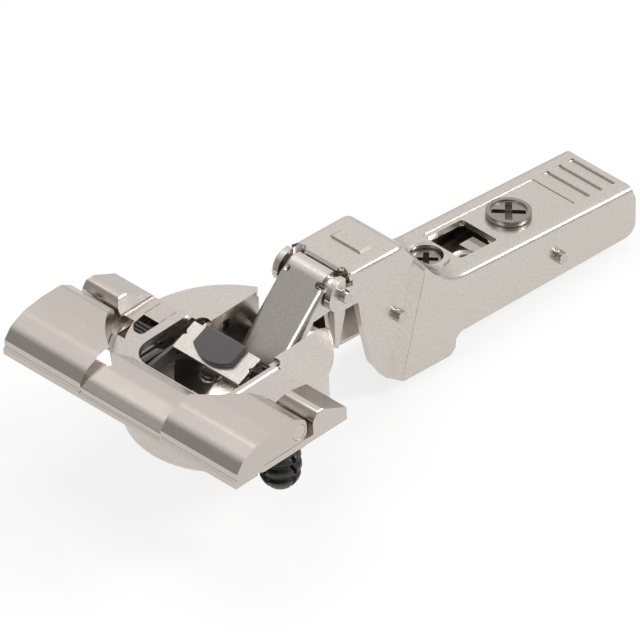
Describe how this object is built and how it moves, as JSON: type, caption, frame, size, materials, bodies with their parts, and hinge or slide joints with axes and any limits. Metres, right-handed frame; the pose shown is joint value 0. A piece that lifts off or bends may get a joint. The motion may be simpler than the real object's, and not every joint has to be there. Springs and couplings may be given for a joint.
{
  "type": "concealed cup hinge",
  "caption": "Cranked concealed hinge for an inset cabinet door, with clip-on arm, tool-free cup with expanding dowels, and soft-close damper",
  "frame": {"origin": "centre of the drilled cup on the door's face", "axes": "+Z out of the door, +X towards the hinge arm, +Y along the pivot pins"},
  "size_m": [0.1131, 0.0544, 0.0281],
  "materials": {
    "nickel": "nickel-plated steel, satin",
    "zinc": "nickel-plated zinc casting, satin",
    "steel": "bright steel",
    "grey_plastic": "dark grey plastic",
    "black_plastic": "black plastic"
  },
  "bodies": {
    "carrier_side": {"carrier": "nickel", "catch_pin": "steel", "catch_spring": "steel"},
    "arm": {"hinge_arm": "nickel", "arm_pin_front": "steel", "arm_pin_low": "steel", "guide_pin": "steel"},
    "outer_link": {"outer_link": "nickel"},
    "cup": {"cup_body": "nickel", "cover_plate": "zinc", "lever_pins": "zinc", "dowel_left": "black_plastic", "dowel_right": "black_plastic", "cup_pin_front": "steel", "cup_pin_back": "steel", "cup_bushes": "steel", "closing_spring": "steel", "damper_housing": "black_plastic", "damper_cylinder": "steel", "rocker_pin": "steel"},
    "inner_link": {"inner_link": "nickel"},
    "lever": {"clamp_lever": "zinc"},
    "expander_left": {"expander_left": "steel"},
    "expander_right": {"expander_right": "steel"},
    "rocker": {"rocker": "grey_plastic", "rocker_plate": "nickel", "rocker_stud": "steel"},
    "damper_rod": {"damper_rod": "steel"},
    "switch": {"damper_switch": "grey_plastic"},
    "depth_screw": {"depth_screw": "zinc"},
    "side_screw": {"side_screw": "zinc"},
    "catch": {"catch": "nickel"}
  },
  "joints": [
    {"name": "depth_adjust", "type": "slide", "parent": "carrier_side", "child": "arm", "axis": [0.9981, 0, -0.061], "range_m": [-0.002, 0.002]},
    {"name": "depth_turn", "type": "hinge", "parent": "arm", "child": "depth_screw", "pos_m": [0.06669, 0, -0.00787], "axis": [0.1089, 0, 0.9941], "range_deg": [-90, 90]},
    {"name": "side_turn", "type": "hinge", "parent": "arm", "child": "side_screw", "pos_m": [0.04708, 0, -0.00949], "axis": [0.061, 0, 0.9981], "range_deg": [-180, 180]},
    {"name": "outer_link_swing", "type": "hinge", "parent": "arm", "child": "outer_link", "pos_m": [0.02156, 0, 0.00409], "axis": [0, -1, 0], "range_deg": [-0.2, 9.5]},
    {"name": "door_swing", "type": "hinge", "parent": "outer_link", "child": "cup", "pos_m": [0.0095, 0, -0.0075], "axis": [0, 1, 0], "range_deg": [-2, 102.9]},
    {"name": "inner_link_swing", "type": "hinge", "parent": "cup", "child": "inner_link", "pos_m": [0.0138, 0, -0.0052], "axis": [0, -1, 0], "range_deg": [-2.3, 118.4]},
    {"name": "rocker_swing", "type": "hinge", "parent": "cup", "child": "rocker", "pos_m": [-0.0108, 0, -0.0025], "axis": [0, 1, 0], "range_deg": [-1, 50.1]},
    {"name": "damper_slide", "type": "slide", "parent": "cup", "child": "damper_rod", "axis": [-1, 0, 0], "range_m": [-0.00004, 0.00171]},
    {"name": "lever_swing", "type": "hinge", "parent": "cup", "child": "lever", "pos_m": [-0.0093, 0, 0.0037], "axis": [0, 1, 0], "range_deg": [0, 85]},
    {"name": "expander_left_slide", "type": "slide", "parent": "cup", "child": "expander_left", "axis": [0, 0, 1], "range_m": [0, 0.00131]},
    {"name": "expander_right_slide", "type": "slide", "parent": "cup", "child": "expander_right", "axis": [0, 0, 1], "range_m": [0, 0.00131]},
    {"name": "switch_slide", "type": "slide", "parent": "cup", "child": "switch", "axis": [1, 0, 0], "range_m": [0, 0.0013]},
    {"name": "catch_swing", "type": "hinge", "parent": "carrier_side", "child": "catch", "pos_m": [0.08001, 0, -0.01491], "axis": [0, 1, 0], "range_deg": [-8, 0], "stiffness_Nm_per_rad": 0.02, "springref_deg": 5.73}
  ],
  "couplings": [
    {"joint": "depth_turn", "follows": "depth_adjust", "rad_per_m": 785},
    {"joint": "outer_link_swing", "follows": "door_swing", "ratio": 0.09162},
    {"joint": "inner_link_swing", "follows": "door_swing", "ratio": 1.1496},
    {"joint": "rocker_swing", "follows": "door_swing", "ratio": 0.48577},
    {"joint": "damper_slide", "follows": "door_swing", "m_per_rad": 0.0009463},
    {"joint": "expander_left_slide", "follows": "lever_swing", "m_per_rad": 0.00087629},
    {"joint": "expander_right_slide", "follows": "lever_swing", "m_per_rad": 0.00087629}
  ]
}
